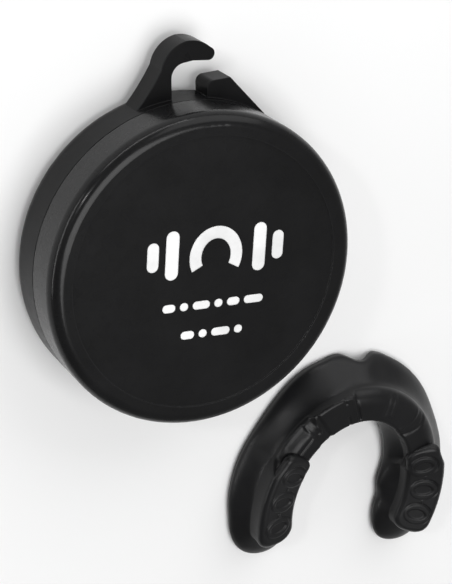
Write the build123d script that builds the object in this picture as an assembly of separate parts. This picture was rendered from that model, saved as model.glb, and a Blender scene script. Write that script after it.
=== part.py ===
from build123d import *
import os
from math import asin, atan, cos, degrees, radians, sin, sqrt, tan

# A mouthguard with its round hinged case, in millimetres.
# The origin is the centre of the case's bottom face, +Z is up towards the lid and +Y points to the
# hanger.  The lid turns on a hinge pin at -Y.  The mouthguard lies beside the case, biting side up.

# ---- driving dimensions: case ------------------------------------------------------------------
case_radius = 40.0
case_height = 25.0
parting_height = 13.0        # top of the base's rim
shell_gap = 0.3              # clearance between the lid and the base
wall = 2.1
floor_thickness = 1.8
bottom_round = 4.5           # outer rounding under the base
lid_round = 3.2              # outer rounding round the lid's face
lip_height = 2.2             # locating lip that stands on the base's rim
lip_thickness = 0.8
face_step_radius = 34.6      # edge of the shallow panel in the lid's face
face_step_depth = 0.35
inner_lid_round = 2.2        # rounding inside the lid, under its outer rounding
past_face = 1.0              # how far a cutter runs past what it cuts

# ---- driving dimensions: hinge -----------------------------------------------------------------
hinge_axis_y = -(case_radius + 0.7)
hinge_axis_z = parting_height + shell_gap / 2
barrel_radius = 1.7
pin_radius = 0.8
pin_chamfer = 0.15
running_clearance = 0.05     # round the pin, in the lid's knuckle
fixing_clearance = 0.01      # round the pin, in the base's knuckles
hinge_width = 20.0
lid_knuckle_width = 9.4
web_reach = 1.2              # how far a knuckle's web runs into its wall
web_height = 4.0
web_front = 0.3              # how far a web stands out past the hinge axis

# ---- driving dimensions: hanger ----------------------------------------------------------------
hanger_low = 4.0             # underside and top of the hanger's plate
hanger_high = 10.8

# ---- driving dimensions: mouthguard, in its own frame -------------------------------------------
# x is lateral, y forward to the front teeth, z up from the biting side.  z = 0 is the pads' face.
arch_half_width = 23.6       # half-ellipse that the middle of the tray follows
arch_depth = 29.2
arch_centre_y = -9.2
arm_end_angle = 126.0        # where the arms end, measured from the front
table_out = 4.7              # tray's biting face, from the middle line outwards
table_in_front = 4.9         # and inwards, at the front and along the arms
table_in_arm = 5.7
flange_lean_front = 5.9      # how far the outer wall leans outwards
flange_lean_arm = 5.3
lingual_lean_front = 1.6     # how far the inner wall leans inwards
lingual_lean_arm = 4.9
front_depth = 15.0           # outer wall's depth at the front lobes
guard_tilt = 5.0             # the flange edges slope by this much from front to back
lingual_short_front = 3.2    # the inner wall ends this much above the outer wall's plane
lingual_short_arm = 0.5
notch_depth = 2.4            # notch for the lip's frenulum
notch_half_width = 3.2
notch_cut_length = 16.0      # front to back, clear of the whole outer wall
arch_turn_start = 15.0       # angles between which the front's sizes turn into the arms'
arch_turn_end = 75.0
table_z = -1.8
bite_frame = 2.2             # thickness of the frame and of the liner under the teeth
bite_liner = 1.2
outer_frame = 1.3            # and in the outer and inner walls
outer_liner = 0.7
inner_frame = 1.0
inner_liner = 0.6
liner_recess = 0.9           # the liner ends this much above the frame's rim
end_wall = 3.0               # wall that closes the channel behind the last tooth
end_margin_angle = 2.0       # the channel stops this much short of it, and the teeth's room of the channel
pad_front_angle = 56.0       # bite pads run from here to the arms' ends
pad_back_angle = 114.0
pad_out = 4.5
pad_in = 5.6
pad_slope = 0.24             # the pads' faces lean towards the tongue
pad_level = -0.6             # offset at which a pad's face is level with z = 0
pad_corner = 2.5             # rounding of a pad's corners in plan
pad_block_height = 5.0       # taller than any pad before its face is cut
pad_margin_angle = 6.0
pad_steps = 6
ring_angles = (70.0, 86.0, 102.0)
ring_offset = -1.0           # rings sit this far from the middle line, inwards
ring_turn_share = 0.6        # the rings turn less than the arch does
ring_half_length = 4.0
ring_half_width = 3.1
ring_height = 0.45
well_half_length = 2.7
well_half_width = 1.5
well_depth = 0.5
loft_steps = 12              # sections from the front of the tray to each end
end_shrink = 0.3             # how much narrower the last section is
cut_past_rim = 4.0           # the channel's cutter runs this far out of the tray

# ---- where the mouthguard lies --------------------------------------------------------------------
guard_yaw = -9.0
guard_x = 52.0
guard_y = -73.0


def cylinder_x(radius, x_low, x_high, y, z):
    """A cylinder along X between two values of x."""
    place = Pos((x_low + x_high) / 2, y, z) * Rot(0, 90, 0)
    return place * Cylinder(radius, x_high - x_low)


def box_between(low, high):
    """A box from its lowest and highest corners."""
    size = [b - a for a, b in zip(low, high)]
    middle = [(a + b) / 2 for a, b in zip(low, high)]
    return Pos(*middle) * Box(*size)


# ---- hinge knuckles -------------------------------------------------------------------------------
half_lid_knuckle = lid_knuckle_width / 2
half_hinge = hinge_width / 2
lid_spans = [(-half_lid_knuckle, half_lid_knuckle)]
base_spans = [
    (-half_hinge, -half_lid_knuckle - shell_gap),
    (half_lid_knuckle + shell_gap, half_hinge),
]


def knuckle(span, side):
    """A hinge barrel with its web. side is +1 for the lid, above the axis, and -1 for the base."""
    low, high = span
    barrel = cylinder_x(barrel_radius, low, high, hinge_axis_y, hinge_axis_z)
    z_far = hinge_axis_z + side * web_height
    web = box_between(
        (low, hinge_axis_y - web_front, min(hinge_axis_z, z_far)),
        (high, hinge_axis_y + web_reach, max(hinge_axis_z, z_far)),
    )
    return barrel + web


def pin_hole(clearance):
    """The hole for the pin, right through the hinge."""
    reach = half_hinge + past_face
    return cylinder_x(pin_radius + clearance, -reach, reach, hinge_axis_y, hinge_axis_z)


def knuckle_pocket(span):
    """Room in the other shell for a knuckle to turn in."""
    low, high = span
    radius = barrel_radius + shell_gap
    return cylinder_x(radius, low - shell_gap, high + shell_gap, hinge_axis_y, hinge_axis_z)


# ---- hanger ---------------------------------------------------------------------------------------
def hanger():
    """A plate on the base's wall that ends in an open hook, curling over to +X."""
    foot_left = (-13.6, 36.0)
    horn = (-5.0, 47.4)
    crown = (1.6, 53.8)
    tip_out = (7.9, 51.6)
    tip_end = (8.9, 49.9)
    tip_in = (7.4, 48.5)
    eye_top = (0.7, 48.6)
    eye_side = (-2.4, 45.0)
    eye_low = (-2.4, 39.2)
    eye_right = (7.0, 38.8)
    post_side = (7.0, 41.6)
    post_in = (9.0, 43.4)
    post_out = (13.1, 43.6)
    foot_right = (22.4, 33.2)
    inside = (4.0, 30.0)
    outline = [
        ThreePointArc(foot_left, (-8.9, 41.5), horn),
        ThreePointArc(horn, (-2.6, 51.7), crown),
        ThreePointArc(crown, (5.2, 53.3), tip_out),
        ThreePointArc(tip_out, tip_end, tip_in),
        Line(tip_in, (3.2, 48.9)),
        Line((3.2, 48.9), eye_top),
        ThreePointArc(eye_top, (-1.6, 47.3), eye_side),
        Line(eye_side, eye_low),
        Line(eye_low, eye_right),
        Line(eye_right, post_side),
        ThreePointArc(post_side, (7.5, 42.8), post_in),
        Line(post_in, post_out),
        Line(post_out, foot_right),
        Line(foot_right, inside),
        Line(inside, foot_left),
    ]
    plate = extrude(make_face(Curve() + outline), hanger_high - hanger_low)
    return Pos(0, 0, hanger_low) * plate


# ---- case shells ----------------------------------------------------------------------------------
inner_radius = case_radius - wall
lip_radius = inner_radius + lip_thickness
lid_bottom = parting_height + shell_gap


def disc(radius, low, high):
    """A cylinder about Z between two heights."""
    return Pos(0, 0, (low + high) / 2) * Cylinder(radius, high - low)


def case_base():
    """The lower shell with its locating lip, hanger and two hinge knuckles."""
    outer = disc(case_radius, 0, parting_height)
    outer = fillet(outer.edges().group_by(Axis.Z)[0], bottom_round)
    outer = outer + hanger()
    outer = outer + disc(lip_radius, parting_height - lip_height, parting_height + lip_height)
    hollow = disc(inner_radius, floor_thickness, case_height)
    hollow = fillet(hollow.edges().group_by(Axis.Z)[0], bottom_round - wall)
    shell = outer - hollow
    for span in lid_spans:
        shell = shell - knuckle_pocket(span)
    for span in base_spans:
        shell = shell + knuckle(span, -1)
    return shell - pin_hole(fixing_clearance)


def case_lid():
    """The upper shell, with a shallow panel in its face and one hinge knuckle."""
    outer = disc(case_radius, lid_bottom, case_height)
    outer = fillet(outer.edges().group_by(Axis.Z)[-1], lid_round)
    hollow = disc(inner_radius, 0, case_height - floor_thickness)
    hollow = fillet(hollow.edges().group_by(Axis.Z)[-1], inner_lid_round)
    skirt_room = disc(lip_radius + shell_gap, parting_height, parting_height + lip_height + shell_gap)
    panel = disc(face_step_radius, case_height - face_step_depth, case_height + past_face)
    shell = outer - hollow - skirt_room - panel
    for span in base_spans:
        shell = shell - knuckle_pocket(span)
    for span in lid_spans:
        shell = shell + knuckle(span, 1)
    return shell - pin_hole(running_clearance)


def hinge_pin():
    """A plain pin as long as the hinge, with its ends chamfered."""
    pin = cylinder_x(pin_radius, -half_hinge, half_hinge, hinge_axis_y, hinge_axis_z)
    return chamfer(pin.edges().filter_by(GeomType.CIRCLE), pin_chamfer)


# ---- mouthguard -----------------------------------------------------------------------------------
def blend(value, low, high):
    """0 below low, 1 above high, and smooth between."""
    u = min(max((value - low) / (high - low), 0.0), 1.0)
    return u * u * (3 - 2 * u)


def arch_point(angle, offset):
    """A point beside the arch's middle line: angle from the front, offset outwards."""
    t = radians(angle)
    x = arch_half_width * sin(t)
    y = arch_centre_y + arch_depth * cos(t)
    dx = arch_half_width * cos(t)
    dy = -arch_depth * sin(t)
    length = sqrt(dx * dx + dy * dy)
    return x - dy / length * offset, y + dx / length * offset


def rim_depth(y):
    """Depth of the plane that the outer wall's rim lies in, which slopes up to the back."""
    front_y = arch_centre_y + arch_depth + table_out + flange_lean_front
    return front_depth - (front_y - y) * tan(radians(guard_tilt))


def section(angle, shrink, outer_inset, inner_inset, top, extra):
    """The tray's section at an angle: outer top, outer rim, inner rim and inner top."""
    arm = blend(abs(angle), arch_turn_start, arch_turn_end)
    table_in = table_in_front + (table_in_arm - table_in_front) * arm
    flange_lean = flange_lean_front + (flange_lean_arm - flange_lean_front) * arm
    lingual_lean = lingual_lean_front + (lingual_lean_arm - lingual_lean_front) * arm
    outer_rim = rim_depth(arch_point(angle, table_out + flange_lean)[1])
    lingual_short = lingual_short_front + (lingual_short_arm - lingual_short_front) * arm
    inner_rim = rim_depth(arch_point(angle, -table_in)[1]) - lingual_short
    outer_slope = flange_lean / (outer_rim + table_z)
    inner_slope = lingual_lean / (inner_rim + table_z)
    depths = [-top, outer_rim + extra, inner_rim + extra, -top]
    offsets = [
        table_out - outer_inset + outer_slope * (depths[0] + table_z),
        table_out - outer_inset + outer_slope * (depths[1] + table_z),
        -table_in + inner_inset - inner_slope * (depths[2] + table_z),
        -table_in + inner_inset - inner_slope * (depths[3] + table_z),
    ]
    middle = (offsets[1] + offsets[2]) / 2
    corners = []
    for offset, depth in zip(offsets, depths):
        x, y = arch_point(angle, middle + (offset - middle) * shrink)
        corners.append((x, y, -depth))
    return Polyline(*corners, close=True)


def tray(last_angle, outer_inset, inner_inset, top, extra, end_narrowing):
    """A solid lofted along the arch, whose two end sections may be narrower."""
    wires = []
    for i in range(-loft_steps, loft_steps + 1):
        angle = last_angle * i / loft_steps
        shrink = 1 - end_narrowing if abs(i) == loft_steps else 1
        wires.append(section(angle, shrink, outer_inset, inner_inset, top, extra).wire())
    return Solid.make_loft(wires)


def frenulum_notch():
    """A rounded wedge cut up into the front of the outer wall."""
    front_y = arch_centre_y + arch_depth + table_out
    cutter = Cylinder(notch_half_width, notch_cut_length, rotation=(90, 0, 0))
    return Pos(0, front_y, -front_depth - notch_half_width + notch_depth) * cutter


channel_end = arm_end_angle - degrees(asin(end_wall / arch_depth)) - end_margin_angle


def whole_tray():
    """The tray's outside, filled."""
    return tray(arm_end_angle, 0, 0, table_z, 0, end_shrink)


def frame_channel():
    """The room inside the frame, which the liner and the teeth share."""
    return tray(channel_end, outer_frame, inner_frame, table_z - bite_frame, cut_past_rim, 0)


def guard_frame():
    """The firm outer moulding: biting table, outer wall and inner wall, open underneath."""
    return whole_tray() - frame_channel() - frenulum_notch()


def guard_liner():
    """The soft boil-and-bite lining of the tooth channel."""
    teeth = tray(
        channel_end - end_margin_angle,
        outer_frame + outer_liner,
        inner_frame + inner_liner,
        table_z - bite_frame - bite_liner,
        2 * cut_past_rim,
        0,
    )
    raised = Pos(0, 0, liner_recess)
    lining = (frame_channel() & (raised * whole_tray())) - teeth
    return lining - raised * frenulum_notch()


def pad_face(offset):
    """Height of a pad's face at an offset from the arch's middle line."""
    return pad_slope * (offset - pad_level)


def pad_outline(side):
    """Plan of a bite pad, a band along one arm."""
    step = (pad_back_angle - pad_front_angle) / pad_steps
    angles = [side * (pad_front_angle + step * i) for i in range(pad_steps + 1)]
    outer = [arch_point(angle, pad_out) for angle in angles]
    inner = [arch_point(angle, -pad_in) for angle in reversed(angles)]
    edges = [
        Spline(*outer),
        Line(outer[-1], inner[0]),
        Spline(*inner),
        Line(inner[-1], outer[0]),
    ]
    return make_face(Curve() + edges)


def under_face(side):
    """The room under a pad's sloping face, lofted along the arch and wider than the pad."""
    first = pad_front_angle - pad_margin_angle
    step = (pad_back_angle + pad_margin_angle - first) / pad_steps
    wires = []
    outer = pad_out + past_face
    inner = -pad_in - past_face
    floor = table_z - past_face
    for i in range(pad_steps + 1):
        corners = []
        for offset, z in ((outer, floor), (outer, pad_face(outer)), (inner, pad_face(inner)), (inner, floor)):
            x, y = arch_point(side * (first + step * i), offset)
            corners.append((x, y, z))
        wires.append(Polyline(*corners, close=True).wire())
    return Solid.make_loft(wires)


def oval(angle, side, half_length, half_width, low, high):
    """An oval disc on the pad, its long axis across the arch, between two heights over the pad's face."""
    x, y = arch_point(side * angle, ring_offset)
    turn = Rot(0, 0, side * (90 - angle) * ring_turn_share)
    lean = Rot(0, -side * degrees(atan(pad_slope)), 0)
    disc = extrude(Ellipse(half_length, half_width), high - low)
    return Pos(x, y, pad_face(ring_offset)) * turn * lean * Pos(0, 0, low) * disc


def bite_pad(side):
    """A bite pad with three raised oval rings, each round a shallow well."""
    block = Pos(0, 0, table_z) * extrude(pad_outline(side), pad_block_height)
    block = fillet(block.edges().filter_by(Axis.Z), pad_corner)
    pad = block & under_face(side)
    for angle in ring_angles:
        pad = pad + oval(angle, side, ring_half_length, ring_half_width, -well_depth, ring_height)
        pad = pad - oval(angle, side, well_half_length, well_half_width, -well_depth, 2 * ring_height)
    return pad


# ---- placing the mouthguard and writing every piece ------------------------------------------------
# It lies on its rim: the sloping rim plane is turned level, then moved to the floor beside the case.
def lay_down(piece):
    """Move a piece from the mouthguard's frame to where the mouthguard lies."""
    front_y = arch_centre_y + arch_depth + table_out + flange_lean_front
    level = Rot(guard_tilt, 0, 0)
    lift = front_depth * cos(radians(guard_tilt)) - front_y * sin(radians(guard_tilt))
    return Pos(guard_x, guard_y, lift) * Rot(0, 0, guard_yaw) * level * piece


pieces = {
    "case_base": case_base(),
    "case_lid": case_lid(),
    "hinge_pin": hinge_pin(),
    "guard_frame": lay_down(guard_frame()),
    "guard_liner": lay_down(guard_liner()),
    "bite_pad_left": lay_down(bite_pad(-1)),
    "bite_pad_right": lay_down(bite_pad(1)),
}

os.makedirs("parts", exist_ok=True)
for name, piece in pieces.items():
    export_step(piece, f"parts/{name}.step")
    box = piece.bounding_box()
    print(name, round(piece.volume, 1), [round(v, 2) for v in (*box.min, *box.max)])
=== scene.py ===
import math

import bmesh
import bpy
import numpy as np
from mathutils import Matrix, Vector


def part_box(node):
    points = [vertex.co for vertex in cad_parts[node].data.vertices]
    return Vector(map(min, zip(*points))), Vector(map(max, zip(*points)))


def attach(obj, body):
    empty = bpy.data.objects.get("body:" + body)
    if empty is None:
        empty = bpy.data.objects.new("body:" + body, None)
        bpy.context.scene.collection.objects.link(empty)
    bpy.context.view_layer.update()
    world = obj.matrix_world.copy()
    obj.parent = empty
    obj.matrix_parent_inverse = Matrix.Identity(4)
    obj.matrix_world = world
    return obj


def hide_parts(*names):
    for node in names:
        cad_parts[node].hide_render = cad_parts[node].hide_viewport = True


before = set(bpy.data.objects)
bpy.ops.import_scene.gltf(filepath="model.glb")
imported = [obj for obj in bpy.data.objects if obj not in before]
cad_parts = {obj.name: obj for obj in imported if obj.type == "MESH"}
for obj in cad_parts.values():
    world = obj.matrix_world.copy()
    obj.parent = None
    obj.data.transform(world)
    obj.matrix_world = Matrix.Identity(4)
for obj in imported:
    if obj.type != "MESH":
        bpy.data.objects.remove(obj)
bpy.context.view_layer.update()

MM = 0.001

# ---- the mouthguard's shape in its own frame, in millimetres -----------------------------------------
# x is lateral, y forward to the front teeth, z up from the biting side.  z = 0 is the pads' face.
ARCH_HALF_WIDTH = 23.6
ARCH_DEPTH = 29.2
ARCH_CENTRE_Y = -9.2
ARM_END = 105.0              # angle at which each arm's rounded end begins
TABLE_Z = -1.8
TABLE_OUT = 4.7              # biting face, outwards and inwards from the middle line
TABLE_IN = 4.9
ARM_TURN = (15.0, 75.0)      # angles over which a size goes from its front value to its arm value
RIM_OUT = (10.6, 10.2)       # each rim's distance from the middle line: front, arms
RIM_IN = (6.5, 8.9)
RIM_REAR = 12.0              # and its reach behind the middle line's end
RIM_POWER = (2.3, 1.9)       # squareness of the rim's end, outwards and inwards: 2 is an ellipse
LEFT_SWELL = (0.5, 27.0, 11.0)          # changes of the outer rim: size, middle angle, width
RIGHT_SWELL = (-0.3, 34.0, 12.0)
SHOULDER_TUCK = (-1.0, 54.0, 15.0)
REAR_TUCK = 0.5              # the outer rim comes in by this much at the arms' ends
TONGUE_SWELL = 1.7           # the inner rim goes out by this much in the arms, and back at their ends
TONGUE_TUCK = 1.5
FRONT_DEPTH = 15.0           # of the outer rim at the front
FLANGE_FRONT = ARCH_CENTRE_Y + ARCH_DEPTH + RIM_OUT[0]    # y of the front rim
LINGUAL_SHORT = (3.2, 0.5)   # the inner rim ends this much above the outer rim's plane: front, arms
LOBE_DEPTH = 0.5             # the two front lobes reach this much further down
GUARD_TILT = 5.0             # slope of the rims' plane, in degrees
GUARD_YAW = -9.0             # the mouthguard's turn where it lies
REST_SPAN = 62.0             # from the lobes back to the arms' ends, which it rests on
GUARD_ORIGIN = (1.27, 0.38)  # its origin, from the middle of the CAD frame's box in plan
CEILING_Z = -4.0             # frame's surface over the tooth channel
FRAME_WALL = 1.3
LINER_SKIN = 0.7             # the liner's thickness at the walls and over the teeth
LINER_ROOF = 1.2
LINER_RECESS = 0.9           # it ends this much above the frame's rim
LINER_GAP = 0.04
LINER_RIM_RADIUS = 0.35
NOTCH_X = -0.7               # the notch for the lip's frenulum, and the lobe on each side of it
NOTCH_DEPTH = 2.4
NOTCH_HALF_WIDTH = 5.6
NOTCH_LEAN = 1.3
LOBE_OFFSET = 7.2
LOBE_WIDTH = 2.8
LOBE_LEAN = 0.25
WALL_TOP = 3.2               # the wall's curve begins this far under the biting face
WALL_COVE = (0.62, 0.4)      # how hollow the outer wall is under the face: front, arms
WALL_COVE_INSIDE = 0.15
RIM_RADIUS = 0.65
EDGE_REACH = (4.4, 1.4)      # rounding across the biting face's edge, on its outer and inner sides
EDGE_DROP = (3.1, 1.4)       # and down it
CRISP_SPAN = (12.0, 38.0)    # angles on the left between which the outer edge is sharper
CRISP_REACH = 3.5            # by this much across and down
CRISP_DROP = 2.2
PLAIN_EDGE = 1.1             # rounding inside the channel
PAD_SEAT = 1.0               # under a pad the tray lies this much deeper
TABLE_ROWS = 26              # rows of points over the face, round its edge and down the wall
EDGE_ROWS = 9
WALL_ROWS = 34
FRAME_STATIONS = (460, 44)   # places along an arch's side and round one of its ends
LINER_STATIONS = (300, 30)
PAD_FRONT = 63.5             # the pad's straight middle begins here, and ends at ARM_END
PAD_OUT = 5.0                # the pad's reach outwards, inwards, and over its two ends
PAD_IN = 6.0
PAD_REAR_REACH = 4.6
PAD_FRONT_REACH = 3.0
PAD_NARROW = (0.8, 0.2)      # its front is narrower by this much, outwards and inwards
PAD_NARROW_SPAN = 9.0        # over this many degrees
PAD_STATIONS = (190, 46)
PAD_ROUND = (2.1, 1.2)       # radius of the pad's edge, outwards and inwards
PAD_SQUARENESS = 2.4         # of its rear end: 2 would be an ellipse
KERB = 0.24                  # the tray comes up this much further out, so the pad sinks into it
KERB_DROP = 0.16             # and its edge is this much under the pad's face
KERB_RISE = (0.5, 8.5)       # degrees behind PAD_FRONT over which it comes up
PAD_SLOPE = 0.24             # the pads' faces lean towards the tongue
PAD_LEVEL = -0.6             # offset at which the pads' faces are level with z = 0
RINGS = ((70.0, -1.6), (86.0, -1.0), (102.0, -0.8))      # angle and offset of each ring
RING_HALF = (3.8, 3.0)       # half sizes across and along the arm
WELL_HALF = (2.7, 1.55)
RING_RISE = 0.17
WELL_FALL = 0.25
RING_GROOVE = 0.34
TICK_RISE = 0.26             # of the small tick between two rings
TICK_SIZES = (0.4, 1.0)


def smooth(value, low, high):
    """0 below low, 1 above high, smooth between, for numbers or arrays."""
    u = np.clip((np.asarray(value, float) - low) / (high - low), 0.0, 1.0)
    return u * u * (3 - 2 * u)


def band(value, low, high, edge):
    """1 between low and high with soft edges."""
    return smooth(value, low - edge, low + edge) * (1 - smooth(value, high - edge, high + edge))


def hump(value, middle, width):
    """A bell of height 1."""
    return np.exp(-((np.asarray(value, float) - middle) / width) ** 2)


def arch(angle, offset=0.0):
    """Points beside the arch's middle line and the outward directions there."""
    t = np.radians(angle)
    x = ARCH_HALF_WIDTH * np.sin(t)
    y = ARCH_CENTRE_Y + ARCH_DEPTH * np.cos(t)
    nx = ARCH_DEPTH * np.sin(t)
    ny = ARCH_HALF_WIDTH * np.cos(t)
    length = np.hypot(nx, ny)
    normal = np.stack([nx / length, ny / length], -1)
    return np.stack([x, y], -1) + normal * np.asarray(offset)[..., None], normal


def rim_depth(y):
    """Depth of the plane that the outer rim lies in."""
    return FRONT_DEPTH - (FLANGE_FRONT - y) * math.tan(math.radians(GUARD_TILT))


def guard_to_row():
    """The matrix from the mouthguard's frame in millimetres to the row frame in metres."""
    tilt = math.radians(GUARD_TILT) + LOBE_DEPTH / REST_SPAN
    lift = (FRONT_DEPTH + LOBE_DEPTH) * math.cos(tilt) - FLANGE_FRONT * math.sin(tilt)
    low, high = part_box("guard_frame")
    middle = (low + high) / 2
    place = Matrix.Translation(Vector((middle.x, middle.y, low.z)) + Vector((*GUARD_ORIGIN, lift)) * MM)
    turn = Matrix.Rotation(math.radians(GUARD_YAW), 4, "Z") @ Matrix.Rotation(tilt, 4, "X")
    return place @ turn @ Matrix.Scale(MM, 4)


# ---- mesh tools --------------------------------------------------------------------------------------
def finish_mesh(name, verts, faces, matrix=None, merge=1e-4):
    """A smooth-shaded object from points and faces, its doubles merged and normals outwards."""
    mesh = bpy.data.meshes.new(name)
    mesh.from_pydata([tuple(v) for v in verts], [], faces)
    work = bmesh.new()
    work.from_mesh(mesh)
    bmesh.ops.remove_doubles(work, verts=work.verts, dist=merge)
    bmesh.ops.dissolve_degenerate(work, edges=work.edges, dist=merge)
    bmesh.ops.recalc_face_normals(work, faces=work.faces)
    work.to_mesh(mesh)
    work.free()
    for face in mesh.polygons:
        face.use_smooth = True
    if matrix is not None:
        mesh.transform(matrix)
    piece = bpy.data.objects.new(name, mesh)
    bpy.context.scene.collection.objects.link(piece)
    return piece


def loop_faces(stations, rows):
    """Quads between neighbouring stations of a closed loop and neighbouring rows."""
    faces = []
    for i in range(stations):
        j = (i + 1) % stations
        for k in range(rows - 1):
            faces.append((i * rows + k, i * rows + k + 1, j * rows + k + 1, j * rows + k))
    return faces


def line_distance(points, line):
    """Distance from each plan point to a line given by (angle, offset) corners, and the way along it."""
    corners = [arch(np.array(float(angle)), offset)[0] for angle, offset in line]
    nearest = np.full(len(points), 1e9)
    along = np.zeros(len(points))
    total = 0.0
    for a, b in zip(corners[:-1], corners[1:]):
        run = b - a
        length = float(np.hypot(*run))
        share = np.clip((points - a) @ run / length ** 2, 0.0, 1.0)
        gap = np.hypot(*(points - (a + share[:, None] * run)).T)
        along = np.where(gap < nearest, total + share * length, along)
        nearest = np.minimum(nearest, gap)
        total += length
    return nearest, along / total


class Stations:
    """Places round the tray's plan: along the outer side, round an end, back inside, round the other."""

    def __init__(self, along, around):
        side = np.linspace(-ARM_END, ARM_END, along)
        turn = np.linspace(0, 180, around + 2)[1:-1]
        angles = [side, np.full(around, ARM_END), side[::-1], np.full(around, -ARM_END)]
        swings = [np.zeros(along), turn, np.full(along, 180.0), 180 - turn]
        self.angle = np.concatenate(angles)
        swing = np.radians(np.concatenate(swings))
        self.inward = (1 - np.cos(swing)) / 2
        self.endward = np.sin(swing)
        self.base, normal = arch(self.angle)
        tangent = np.stack([normal[:, 1], -normal[:, 0]], -1) * np.sign(self.angle)[:, None]
        self.direction = normal * np.cos(swing)[:, None] + tangent * np.sin(swing)[:, None]
        self.count = len(self.angle)
        self.kerb = smooth(np.abs(self.angle) - PAD_FRONT, *KERB_RISE)

    def mix(self, outer, inner):
        """A size that goes from its outer value to its inner value round an end."""
        return outer * (1 - self.inward) + inner * self.inward

    def arm(self, pair):
        """A size that goes from its front value to its arm value along the arch."""
        return pair[0] + (pair[1] - pair[0]) * smooth(np.abs(self.angle), *ARM_TURN)

    def plan(self, reach):
        """Plan points at a reach from the middle line."""
        return self.base + self.direction * np.asarray(reach)[:, None]

    def points(self, reach, z):
        """Points at a reach from the middle line and a height."""
        return np.column_stack([self.plan(reach), np.broadcast_to(z, self.count)])


def end_reach(swing_cos, swing_sin, half, rear, power):
    """Reach of an arm's rounded end in the direction given by a cosine and a sine."""
    across = (np.abs(swing_cos) / half) ** power
    back = (np.abs(swing_sin) / rear) ** power
    return (across + back) ** (-1 / power)


def swell(angle, size, middle, width):
    """A change of some size, centred on an angle."""
    return size * hump(angle, middle, width)


def tray_sizes(s):
    """Table half width, wall lean and rim depth at each station."""
    a = np.abs(s.angle)
    cosine = 1 - 2 * s.inward
    half = s.mix(TABLE_OUT, TABLE_IN) + (s.mix(PAD_OUT - TABLE_OUT, PAD_IN - TABLE_IN) + KERB) * s.kerb
    width = end_reach(cosine, s.endward, half, PAD_REAR_REACH + KERB, PAD_SQUARENESS)
    rim_out = s.arm(RIM_OUT) + np.where(s.angle < 0, swell(a, *LEFT_SWELL), swell(a, *RIGHT_SWELL))
    rim_out += swell(a, *SHOULDER_TUCK) - REAR_TUCK * smooth(a, 90, ARM_END)
    rim_in = s.arm(RIM_IN) + TONGUE_SWELL * smooth(a, 68, 90) - TONGUE_TUCK * smooth(a, 90, ARM_END)
    reach = end_reach(cosine, s.endward, s.mix(rim_out, rim_in), RIM_REAR, s.mix(*RIM_POWER))
    rim = s.plan(reach)
    beside_notch = np.abs(rim[:, 0] - NOTCH_X)
    outside = (1 - s.inward) * (a < 60)
    valley = (1 - smooth(beside_notch, 0.4, NOTCH_HALF_WIDTH)) * outside
    lobes = hump(beside_notch, LOBE_OFFSET, LOBE_WIDTH) * outside
    short = s.arm(LINGUAL_SHORT) * smooth(s.inward, 0.35, 1.0)
    depth = rim_depth(rim[:, 1]) - short - NOTCH_DEPTH * valley + LOBE_DEPTH * lobes
    return width, reach - width - NOTCH_LEAN * valley + LOBE_LEAN * lobes, depth


def wall_curve(h, cove):
    """How far out the wall is at a share h of its height: a cove under the table, a bulge, a tucked rim."""
    hollow = smooth(h, 0.06, 0.97)
    full = math.sin(math.pi / 2 * min(h / 0.85, 1.0))
    return full * (1 - cove) + hollow * cove - 0.07 * smooth(h, 0.8, 1.0)


# Thin raised lines and grooves on the biting face: (angle, offset) corners, height and half width.
LEFT_LINES = (
    (((-18.7, 5.3), (-16.4, 5.9), (-12.6, 5.6)), 0.30, 0.36),
    (((-12.4, 5.0), (-8.9, -3.3)), -0.36, 0.40),
    (((-13.9, 3.5), (-10.3, -3.2)), 0.10, 0.30),
    (((-18.9, 5.2), (-18.4, 3.0)), -0.26, 0.34),
    (((-17.9, -1.6), (-17.5, -4.9)), -0.26, 0.36),
    (((-35.5, 4.4), (-35.4, -4.6)), -0.40, 0.52),
    (((-37.7, 4.9), (-39.8, 5.0), (-41.8, 4.6), (-43.4, 3.9), (-44.2, 3.0), (-43.8, 1.9)), 0.30, 0.42),
    (((-39.9, 1.7), (-38.8, 1.4), (-38.3, 0.6), (-38.5, -0.3), (-39.5, -0.9), (-40.8, -1.0)), 0.26, 0.34),
    (((-57.3, 0.6), (-45.0, 1.1), (-44.1, 0.3), (-45.0, -0.5), (-57.3, -0.8)), 0.30, 0.30),
)
RIGHT_LINES = (
    (((10.7, 4.2), (12.2, -1.8)), -0.14, 0.60),
    (((15.7, 4.3), (16.6, 1.2), (18.4, -1.8)), 0.12, 0.40),
    (((33.0, 5.0), (34.9, 3.6), (36.0, 1.6), (36.4, -0.6), (35.4, -2.8), (32.6, -4.6)), 0.13, 0.45),
    (((39.3, 4.6), (42.0, 2.8), (43.2, 0.7), (42.6, -1.7), (40.4, -3.6), (37.2, -5.2)), -0.20, 0.55),
)
BEADED_EDGE = ((-37.0, 4.7), (-30.0, 5.0), (-24.0, 5.2), (-18.9, 5.2))
BEAD_COUNT = 9


def line_relief(plan, lines):
    """Height of thin raised lines and grooves at each plan point."""
    height = np.zeros(len(plan))
    for line, rise, half in lines:
        gap, _ = line_distance(plan, line)
        height += rise * hump(gap, 0.0, half)
    return height


def table_relief(plan, angle, q):
    """Height of the moulded details on the tray's biting face, by place, angle and offset outwards."""
    height = line_relief(plan, LEFT_LINES) + line_relief(plan, RIGHT_LINES)
    gap, along = line_distance(plan, BEADED_EDGE)
    beads = 0.5 + 0.5 * np.cos(2 * math.pi * BEAD_COUNT * along)
    height += (0.10 + 0.34 * (0.4 + 0.6 * along) * beads) * hump(gap, 0.0, 0.36)
    height -= 0.3 * band(-angle, 36.0, 45.5, 1.5)
    height -= 0.2 * band(angle, 35.5, 41.5, 2.5) * (1 - smooth(np.abs(q), 4.0, 6.0))
    shoulder = band(np.abs(angle), 44.0, 60.0, 3.0) * smooth(q, 1.2, 3.6)
    height -= np.where(angle < 0, 0.6, 0.2) * shoulder
    return height


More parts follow.
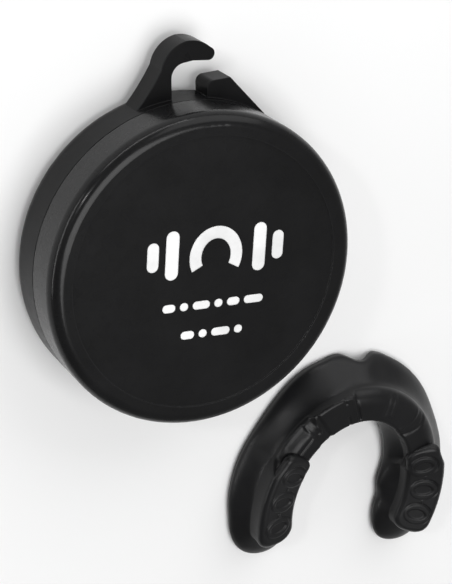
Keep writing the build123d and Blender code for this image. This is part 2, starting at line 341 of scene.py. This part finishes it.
def tray_edge(s, detailed):
    """Rounding of the face's edge across and down, and how much each row of the top is raised."""
    if not detailed:
        plain = np.full(s.count, PLAIN_EDGE)
        return plain, plain, np.zeros(s.count)
    crisp = band(-s.angle, *CRISP_SPAN, 2.0) * (1 - s.inward)
    kerb_edge = s.mix(*PAD_ROUND) + 0.1
    edge = (s.mix(*EDGE_REACH) - CRISP_REACH * crisp) * (1 - s.kerb) + kerb_edge * s.kerb
    drop = (s.mix(*EDGE_DROP) - CRISP_DROP * crisp) * (1 - s.kerb) + kerb_edge * s.kerb
    return edge, drop, (-KERB_DROP - TABLE_Z) * s.kerb


def tray_surface(s, inset, roof, recess, detailed):
    """Rows of points from the top's middle line, over the table, down the wall to its rim."""
    width, lean, depth = tray_sizes(s)
    edge, drop, raised = tray_edge(s, detailed)
    top = roof + raised
    cove = (s.arm(WALL_COVE) * (1 - s.inward) + WALL_COVE_INSIDE * s.inward) * (1 - s.endward)
    width = width - inset
    rows = []
    for u in np.linspace(0, 1, TABLE_ROWS):
        reach = u * (width - edge)
        under_pad = s.kerb * (1 - smooth(reach, width - edge - 0.8, width - edge))
        rows.append([reach, top - PAD_SEAT * under_pad if detailed else top])
    for psi in np.radians(np.linspace(80, 4, EDGE_ROWS)):
        rows.append([width - edge + edge * np.cos(psi), top - drop + drop * np.sin(psi)])
    start = roof - WALL_TOP
    bottom = -depth + recess + RIM_RADIUS
    for h in np.linspace(0.0, 1.0, WALL_ROWS):
        out = width + lean * wall_curve(h, cove)
        rows.append([out, start + (bottom - start) * h])
    if detailed:
        for row in rows:
            q = row[0] * (1 - 2 * s.inward)
            fade = smooth(row[1], TABLE_Z - 2.4, TABLE_Z - 0.5) * (1 - s.kerb)
            slope = PAD_SLOPE * (q - PAD_LEVEL) * s.kerb * smooth(row[1], TABLE_Z - 3.7, TABLE_Z + 0.3)
            row[1] = row[1] + table_relief(s.plan(row[0]), s.angle, q) * fade + slope
    return rows


def tray_shell(name, s, outer, inner, rim_radius):
    """A closed shell between an outer and an inner surface, joined by a rounded rim."""
    rows = [(r, z) for r, z in outer]
    last_r, last_z = outer[-1]
    inner_r, inner_z = inner[-1]
    middle = (last_r + inner_r) / 2
    half = (last_r - inner_r) / 2
    low = np.minimum(last_z, inner_z)
    for psi in np.radians(np.linspace(12, 168, 9)):
        rows.append((middle + half * np.cos(psi), low - rim_radius * np.sin(psi)))
    rows.extend((r, z) for r, z in reversed(inner))
    grid = np.stack([s.points(r, z) for r, z in rows], 1)
    faces = loop_faces(s.count, len(rows))
    return finish_mesh(name, grid.reshape(-1, 3), faces, guard_to_row())


def build_frame():
    """The firm outer moulding, open underneath."""
    s = Stations(*FRAME_STATIONS)
    outer = tray_surface(s, 0.0, TABLE_Z, 0.0, True)
    inner = tray_surface(s, FRAME_WALL, CEILING_Z, 0.0, False)
    piece = tray_shell("mouthguard_frame", s, outer, inner, RIM_RADIUS)
    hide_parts("guard_frame")
    return piece


def build_liner():
    """The soft lining inside the frame's channel."""
    s = Stations(*LINER_STATIONS)
    outer = tray_surface(s, FRAME_WALL + LINER_GAP, CEILING_Z - LINER_GAP, LINER_RECESS, False)
    inner = tray_surface(s, FRAME_WALL + LINER_SKIN, CEILING_Z - LINER_ROOF, LINER_RECESS, False)
    piece = tray_shell("mouthguard_liner", s, outer, inner, LINER_RIM_RADIUS)
    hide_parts("guard_liner")
    return piece


# ---- bite pads ---------------------------------------------------------------------------------------
def ring_place(x, y, side, angle, offset):
    """Distances across and along the arm from a point beside the arch's middle line."""
    centre, normal = arch(np.array(side * angle), offset)
    dx = x - centre[0]
    dy = y - centre[1]
    return dx * normal[0] + dy * normal[1], (-dx * normal[1] + dy * normal[0]) * side


def ring_relief(x, y, side):
    """Height of the oval rings, their wells, the grooves beside them and the small ticks."""
    height = np.zeros_like(x)
    for angle, offset in RINGS:
        u, v = ring_place(x, y, side, angle, offset)
        outer = (np.hypot(u / RING_HALF[0], v / RING_HALF[1]) - 1) * sum(RING_HALF) / 2
        inner = (np.hypot(u / WELL_HALF[0], v / WELL_HALF[1]) - 1) * 1.9
        ring = (1 - smooth(outer, -0.3, 0.15)) * smooth(inner, -0.1, 0.3)
        well = 1 - smooth(inner, -0.3, 0.1)
        groove = hump(outer, 0.4, 0.25) * smooth(0.5 * u + v, -1.5, 2.5)
        height += RING_RISE * ring - WELL_FALL * well - RING_GROOVE * groove
    for first, second, size in zip(RINGS[:-1], RINGS[1:], TICK_SIZES):
        angle = (first[0] + second[0]) / 2
        offset = (first[1] + second[1]) / 2 + 0.4
        u, v = ring_place(x, y, side, angle, offset)
        height += TICK_RISE * size * hump(u, 0.0, 0.3) * (1 - smooth(np.abs(v), 0.45, 0.9))
    return height


def pad_stations(side, along, around):
    """Places round a pad's plan: base points on its middle line, directions, reach and share inwards."""
    run = np.linspace(PAD_FRONT, ARM_END, along)
    turn = np.linspace(0, 180, around + 2)[1:-1]
    angles = np.concatenate([run, np.full(around, ARM_END), run[::-1], np.full(around, PAD_FRONT)])
    swing = np.radians(np.concatenate([np.zeros(along), turn, np.full(along, 180.0), 180 + turn]))
    base, normal = arch(side * angles)
    tangent = np.stack([normal[:, 1], -normal[:, 0]], -1) * side
    direction = normal * np.cos(swing)[:, None] + tangent * np.sin(swing)[:, None]
    inward = (1 - np.cos(swing)) / 2
    narrow = 1 - smooth(angles, PAD_FRONT, PAD_FRONT + PAD_NARROW_SPAN)
    half = (PAD_OUT - PAD_NARROW[0] * narrow) * (1 - inward) + (PAD_IN - PAD_NARROW[1] * narrow) * inward
    length = np.where(np.sin(swing) > 0, PAD_REAR_REACH, PAD_FRONT_REACH)
    reach = end_reach(np.cos(swing), np.sin(swing), half, length, PAD_SQUARENESS)
    return base, direction, reach, inward


def build_pad(side, node):
    """A bite pad with its rings: side is -1 for the left and 1 for the right."""
    base, direction, reach, inward = pad_stations(side, *PAD_STATIONS)
    count = len(reach)
    edge = PAD_ROUND[0] * (1 - inward) + PAD_ROUND[1] * inward
    rows = []
    for u in np.linspace(0, 1, 44):
        rows.append((u * (reach - edge), np.zeros(count)))
    for psi in np.radians(np.linspace(84, 6, 12)):
        rows.append((reach - edge + edge * np.cos(psi), edge * (np.sin(psi) - 1)))
    for r in (1.0, 0.5, 0.0):
        rows.append((reach * r, -0.9 - edge * 0.7))
    columns = []
    for r, z in rows:
        flat = base + direction * r[:, None]
        lift = ring_relief(flat[:, 0], flat[:, 1], side) * (1 - smooth(-z, 0.0, 0.6))
        slope = PAD_SLOPE * (r * (1 - 2 * inward) - PAD_LEVEL)
        columns.append(np.column_stack([flat, z + lift + slope]))
    grid = np.stack(columns, 1)
    faces = loop_faces(count, len(rows))
    name = "mouthguard_pad_left" if side < 0 else "mouthguard_pad_right"
    piece = finish_mesh(name, grid.reshape(-1, 3), faces, guard_to_row())
    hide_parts(node)
    return piece


# ---- materials ---------------------------------------------------------------------------------------
COAT_ROUGHNESS = 0.16
EDGE_WEAR_AND_SHEEN_GAIN = 2.4              # an edge is this many times lighter, and lifted by this much: part wear, part a painted highlight on the edge
EDGE_WEAR_AND_SHEEN_LIFT = 0.004
POLISH = 0.12                # and this much less rough
EDGE_FACING = (0.985, 0.88)  # how far the rounded surface turns away where an edge begins and is full


class Recipe:
    """A material's node tree, with short ways to add the nodes that every material here uses."""

    def __init__(self, name):
        self.material = bpy.data.materials.new(name)
        self.material.use_nodes = True
        self.nodes = self.material.node_tree.nodes
        self.links = self.material.node_tree.links
        self.shader = self.nodes["Principled BSDF"]
        self.place = self.nodes.new("ShaderNodeTexCoord").outputs["Object"]

    def noise(self, size_mm, detail, stretch=None):
        """A noise of a given size, stretched along one slanting direction if asked."""
        node = self.nodes.new("ShaderNodeTexNoise")
        node.inputs["Scale"].default_value = 1.0 / (size_mm * MM)
        node.inputs["Detail"].default_value = detail
        source = self.place
        if stretch:
            mapping = self.nodes.new("ShaderNodeMapping")
            mapping.inputs["Scale"].default_value = stretch
            mapping.inputs["Rotation"].default_value = (0.3, 0.2, 0.7)
            self.links.new(source, mapping.inputs["Vector"])
            source = mapping.outputs["Vector"]
        self.links.new(source, node.inputs["Vector"])
        return node.outputs["Fac"]

    def ranged(self, value, low, high, to_low, to_high):
        """A value moved from one range to another."""
        node = self.nodes.new("ShaderNodeMapRange")
        node.inputs["From Min"].default_value = low
        node.inputs["From Max"].default_value = high
        node.inputs["To Min"].default_value = to_low
        node.inputs["To Max"].default_value = to_high
        self.links.new(value, node.inputs["Value"])
        return node.outputs["Result"]

    def total(self, first, second):
        """The sum of two values."""
        node = self.nodes.new("ShaderNodeMath")
        self.links.new(first, node.inputs[0])
        self.links.new(second, node.inputs[1])
        return node.outputs["Value"]

    def bump(self, height, depth_mm, normal):
        """A normal bent by a height, on top of another normal."""
        node = self.nodes.new("ShaderNodeBump")
        node.inputs["Distance"].default_value = depth_mm * MM
        self.links.new(height, node.inputs["Height"])
        self.links.new(normal, node.inputs["Normal"])
        return node.outputs["Normal"]

    def edges(self, radius_mm):
        """The rounded normal, the surface's own normal, and where the two part: 1 at an edge."""
        rounded = self.nodes.new("ShaderNodeBevel")
        rounded.samples = 6
        rounded.inputs["Radius"].default_value = radius_mm * MM
        surface = self.nodes.new("ShaderNodeNewGeometry")
        facing = self.nodes.new("ShaderNodeVectorMath")
        facing.operation = "DOT_PRODUCT"
        self.links.new(rounded.outputs["Normal"], facing.inputs[0])
        self.links.new(surface.outputs["Normal"], facing.inputs[1])
        edge = self.ranged(facing.outputs["Value"], *EDGE_FACING, 0.0, 1.0)
        return rounded.outputs["Normal"], surface.outputs["Normal"], edge

    def tones(self, colour, edge):
        """Two close tones in slow patches, and a lighter one along the edges, part wear and part painted
        highlight.
        """
        tone = self.nodes.new("ShaderNodeValToRGB")
        for element, position, gain in zip(tone.color_ramp.elements, (0.3, 0.7), (0.82, 1.22)):
            element.position = position
            element.color = (*[c * gain for c in colour], 1)
        self.links.new(self.noise(14.0, 4.0), tone.inputs["Fac"])
        # A lighter colour along the edges: partly wear, partly a painted highlight where the edges would
        # catch the light.
        wear_and_sheen = self.nodes.new("ShaderNodeMix")
        wear_and_sheen.data_type = "RGBA"
        wear_and_sheen.inputs["B"].default_value = (*[min(c * EDGE_WEAR_AND_SHEEN_GAIN + EDGE_WEAR_AND_SHEEN_LIFT, 0.9) for c in colour], 1)
        self.links.new(edge, wear_and_sheen.inputs["Factor"])
        self.links.new(tone.outputs["Color"], wear_and_sheen.inputs["A"])
        return wear_and_sheen.outputs["Result"]


def moulded(name, colour, gloss, grain, wave_mm=0.0, edge_mm=0.35, is_rounded=True, coat=0.0):
    """A moulded plastic or rubber. gloss is roughness and specular; grain is size and depth in mm."""
    recipe = Recipe(name)
    roughness, specular = gloss
    shader = recipe.shader
    shader.inputs["Specular IOR Level"].default_value = specular
    shader.inputs["Coat Weight"].default_value = coat
    shader.inputs["Coat Roughness"].default_value = COAT_ROUGHNESS
    rounded, surface, edge = recipe.edges(edge_mm)
    recipe.links.new(recipe.tones(colour, edge), shader.inputs["Base Color"])

    uneven = recipe.ranged(recipe.noise(3.0, 6.0), 0.3, 0.7, roughness - 0.03, roughness + 0.03)
    scuffs = recipe.ranged(recipe.noise(2.2, 3.0, (1.0, 14.0, 1.0)), 0.62, 0.74, 0.0, 0.09)
    polish = recipe.ranged(edge, 0.0, 1.0, 0.0, -POLISH)
    matt = recipe.total(recipe.total(uneven, scuffs), polish)
    recipe.links.new(matt, shader.inputs["Roughness"])

    normal = rounded if is_rounded else surface
    if wave_mm:
        normal = recipe.bump(recipe.noise(7.0, 2.0), wave_mm, normal)
    normal = recipe.bump(recipe.noise(grain[0], 3.0), grain[1], normal)
    recipe.links.new(normal, shader.inputs["Normal"])
    return recipe.material


def dress(piece, material):
    """Give a piece one material."""
    piece.data.materials.clear()
    piece.data.materials.append(material)


def dark(level, blue):
    """A nearly neutral colour, a touch bluer than grey."""
    return (level, level, blue)


case_plastic = moulded("case_plastic", dark(0.006, 0.0063), (0.30, 0.07), (0.35, 0.012))
lid_plastic = moulded("lid_plastic", dark(0.007, 0.0073), (0.28, 0.08), (0.35, 0.012), coat=0.25)
pin_plastic = moulded("pin_plastic", dark(0.012, 0.0125), (0.36, 0.30), (0.3, 0.01), edge_mm=0.15)
guard_rubber = moulded("guard_rubber", dark(0.0065, 0.007), (0.34, 0.24), (0.3, 0.02), 0.10, 0.5, False)
pad_rubber = moulded("pad_rubber", dark(0.0075, 0.008), (0.38, 0.24), (0.3, 0.02), 0.05, 0.4, False)
liner_gel = moulded("liner_gel", dark(0.014, 0.015), (0.30, 0.40), (0.6, 0.02), 0.08, 0.5, False)
print_ink = moulded("print_ink", dark(0.8, 0.8), (0.50, 0.40), (0.25, 0.006))


# ---- mouthguard --------------------------------------------------------------------------------------
guard_parts = [
    (build_frame(), guard_rubber, "guard_frame"),
    (build_liner(), liner_gel, "guard_liner"),
    (build_pad(-1, "bite_pad_left"), pad_rubber, "bite_pad"),
    (build_pad(1, "bite_pad_right"), pad_rubber, "bite_pad"),
]
for piece, material, slot in guard_parts:
    dress(piece, material)
    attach(piece, "guard")


# ---- case --------------------------------------------------------------------------------------------
dress(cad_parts["case_base"], case_plastic)
dress(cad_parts["case_lid"], lid_plastic)
dress(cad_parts["hinge_pin"], pin_plastic)


# ---- print on the lid --------------------------------------------------------------------------------
# A generic mark: a mouthguard's arch between four bars, over two rows of dashes.  It has no letters.
PRINT_CENTRE = (2.2, 0.0)
PRINT_TURN = -3.7            # degrees from the row's x
PRINT_HEIGHT = 0.04
PANEL_DEPTH = 0.35           # the lid's panel lies this far under its rim
MARK_Y = 5.5
MARK_HALF_HEIGHT = 6.4
# Each bar's x, width and height, and each row's y and lengths.
MARK_BARS = ((-16.6, 3.0, 7.4), (-11.6, 3.4, 12.4), (11.6, 3.4, 12.4), (16.6, 3.0, 7.4))
DASH_ROWS = ((-8.0, (3.4, 2.2, 4.6, 2.2, 3.4, 5.2)), (-15.5, (3.6, 2.2, 5.0, 2.2)))
DASH_GAP = 1.2
DASH_HEIGHT = 2.1


def stadium(x, y, length, height, corner_steps=8):
    """Outline of a dash or bar with round ends, centred at x and y."""
    radius = min(length, height) / 2
    points = []
    for cx, cy, first in ((1, 1, 0), (-1, 1, 90), (-1, -1, 180), (1, -1, 270)):
        for step in range(corner_steps + 1):
            t = math.radians(first + 90 * step / corner_steps)
            points.append((
                x + cx * (length / 2 - radius) + radius * math.cos(t),
                y + cy * (height / 2 - radius) + radius * math.sin(t),
            ))
    return points


def arch_mark(half_width, half_height, thickness, steps=40):
    """Outline of a small horseshoe, open at the bottom, centred on the mark."""
    points = []
    for reach, order in ((0.0, 1), (thickness, -1)):
        for step in range(steps + 1)[::order]:
            t = math.radians(-118 + 236 * step / steps)
            x = (half_width - reach) * math.sin(t)
            y = MARK_Y - 1.2 + (half_height + 1.2 - reach) * math.cos(t)
            points.append((x, y))
    return points


def dash_row(y, lengths):
    """Outlines of dashes in a row, centred on x = 0."""
    total = sum(lengths) + DASH_GAP * (len(lengths) - 1)
    x = -total / 2
    outlines = []
    for length in lengths:
        outlines.append(stadium(x + length / 2, y, length, DASH_HEIGHT))
        x += length + DASH_GAP
    return outlines


def build_print():
    """The white print: thin flat shapes that stand a hair above the lid's panel."""
    outlines = [arch_mark(7.0, MARK_HALF_HEIGHT, 3.1)]
    for x, length, height in MARK_BARS:
        outlines.append(stadium(x, MARK_Y, length, height))
    for y, lengths in DASH_ROWS:
        outlines += dash_row(y, lengths)
    work = bmesh.new()
    for outline in outlines:
        base = work.faces.new([work.verts.new((x, y, 0)) for x, y in outline])
        grown = bmesh.ops.extrude_face_region(work, geom=[base])["geom"]
        tops = [part for part in grown if isinstance(part, bmesh.types.BMVert)]
        bmesh.ops.translate(work, vec=(0, 0, PRINT_HEIGHT), verts=tops)
    bmesh.ops.recalc_face_normals(work, faces=work.faces)
    mesh = bpy.data.meshes.new("lid_print")
    work.to_mesh(mesh)
    work.free()
    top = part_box("case_lid")[1].z
    lift = Matrix.Translation((PRINT_CENTRE[0] * MM, PRINT_CENTRE[1] * MM, top - PANEL_DEPTH * MM))
    mesh.transform(lift @ Matrix.Rotation(math.radians(PRINT_TURN), 4, "Z") @ Matrix.Scale(MM, 4))
    piece = bpy.data.objects.new("lid_print", mesh)
    bpy.context.scene.collection.objects.link(piece)
    dress(piece, print_ink)
    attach(piece, "lid")


build_print()


# ---- floor, light and camera -------------------------------------------------------------------------
def build_floor():
    """A pale sheet under everything."""
    half = 3.0
    z = -0.0002              # a hair under everything, so that no faces share a plane
    corners = [(-half, -half, z), (half, -half, z), (half, half, z), (-half, half, z)]
    floor = finish_mesh("floor", corners, [(0, 1, 2, 3)])
    material = bpy.data.materials.new("floor_paper")
    material.use_nodes = True
    shader = material.node_tree.nodes["Principled BSDF"]
    shader.inputs["Base Color"].default_value = (0.86, 0.86, 0.86, 1)
    shader.inputs["Roughness"].default_value = 0.9
    shader.inputs["Specular IOR Level"].default_value = 0.1
    floor.data.materials.append(material)


def soft_light(name, place, aim, size, power):
    """A soft rectangular light that faces a point, its long side level."""
    data = bpy.data.lights.new(name, "AREA")
    data.shape = "RECTANGLE"
    data.size, data.size_y = size
    data.energy = power
    light = bpy.data.objects.new(name, data)
    light.location = place
    light.rotation_euler = (Vector(aim) - Vector(place)).to_track_quat("-Z", "Y").to_euler()
    bpy.context.scene.collection.objects.link(light)


# The row's axes as the camera sees them: right, down and into the picture.
ROW_X = Vector((0.898, -0.172, 0.405))
ROW_Y = Vector((0.0, -0.921, -0.390))
ROW_Z = Vector((0.44, 0.35, -0.827))
VIEW_DISTANCE = 0.46         # to the point that the camera looks at
VIEW_HEIGHT = 0.149744       # what the picture's height shows at that distance
SENSOR = 36.0
LOOK_AT = Vector((0.0154, -0.0155, 0.0037))


def build_camera():
    """A camera over the case and the mouthguard, rolled so that the floor falls away to the lower right."""
    right = Vector((ROW_X.x, ROW_Y.x, ROW_Z.x)).normalized()
    into = Vector((ROW_X.z, ROW_Y.z, ROW_Z.z)).normalized()
    down = into.cross(right).normalized()
    right = down.cross(into)
    turn = Matrix((right, -down, -into)).transposed().to_4x4()
    data = bpy.data.cameras.new("camera")
    data.sensor_width = SENSOR
    data.lens = SENSOR * VIEW_DISTANCE / VIEW_HEIGHT
    camera = bpy.data.objects.new("camera", data)
    camera.matrix_world = Matrix.Translation(LOOK_AT - into * VIEW_DISTANCE) @ turn
    bpy.context.scene.collection.objects.link(camera)
    bpy.context.scene.camera = camera


def build_sky():
    """A white sky, weaker at the row's left than at its right."""
    world = bpy.data.worlds.new("studio")
    world.use_nodes = True
    nodes = world.node_tree.nodes
    links = world.node_tree.links
    background = nodes["Background"]
    background.inputs["Color"].default_value = (1, 1, 1, 1)
    direction = nodes.new("ShaderNodeTexCoord")
    apart = nodes.new("ShaderNodeSeparateXYZ")
    dimmer = nodes.new("ShaderNodeMapRange")
    dimmer.inputs["From Min"].default_value = -1.0
    dimmer.inputs["To Min"].default_value = SKY_LEFT
    dimmer.inputs["To Max"].default_value = SKY_RIGHT
    links.new(direction.outputs["Generated"], apart.inputs["Vector"])
    links.new(apart.outputs["X"], dimmer.inputs["Value"])
    links.new(dimmer.outputs["Result"], background.inputs["Strength"])
    bpy.context.scene.world = world


MIDDLE = (0.02, -0.02, 0.0)  # what the lights face
SKY_LEFT = 0.10
SKY_RIGHT = 0.36
build_floor()
build_camera()
soft_light("high_light", (0.42, 0.72, 0.50), MIDDLE, (0.8, 0.8), 3.6)
soft_light("top_light", (-0.02, -0.06, 1.2), MIDDLE, (0.8, 0.8), 10.0)
soft_light("glint_light", (-0.62, 0.42, 0.62), MIDDLE, (0.08, 0.08), 0.9)
soft_light("left_strip", (-0.86, 0.12, 0.22), MIDDLE, (0.9, 0.06), 2.2)
soft_light("back_strip", (-0.18, 0.90, 0.22), MIDDLE, (0.9, 0.06), 2.2)

build_sky()
bpy.context.scene.view_settings.view_transform = "Standard"
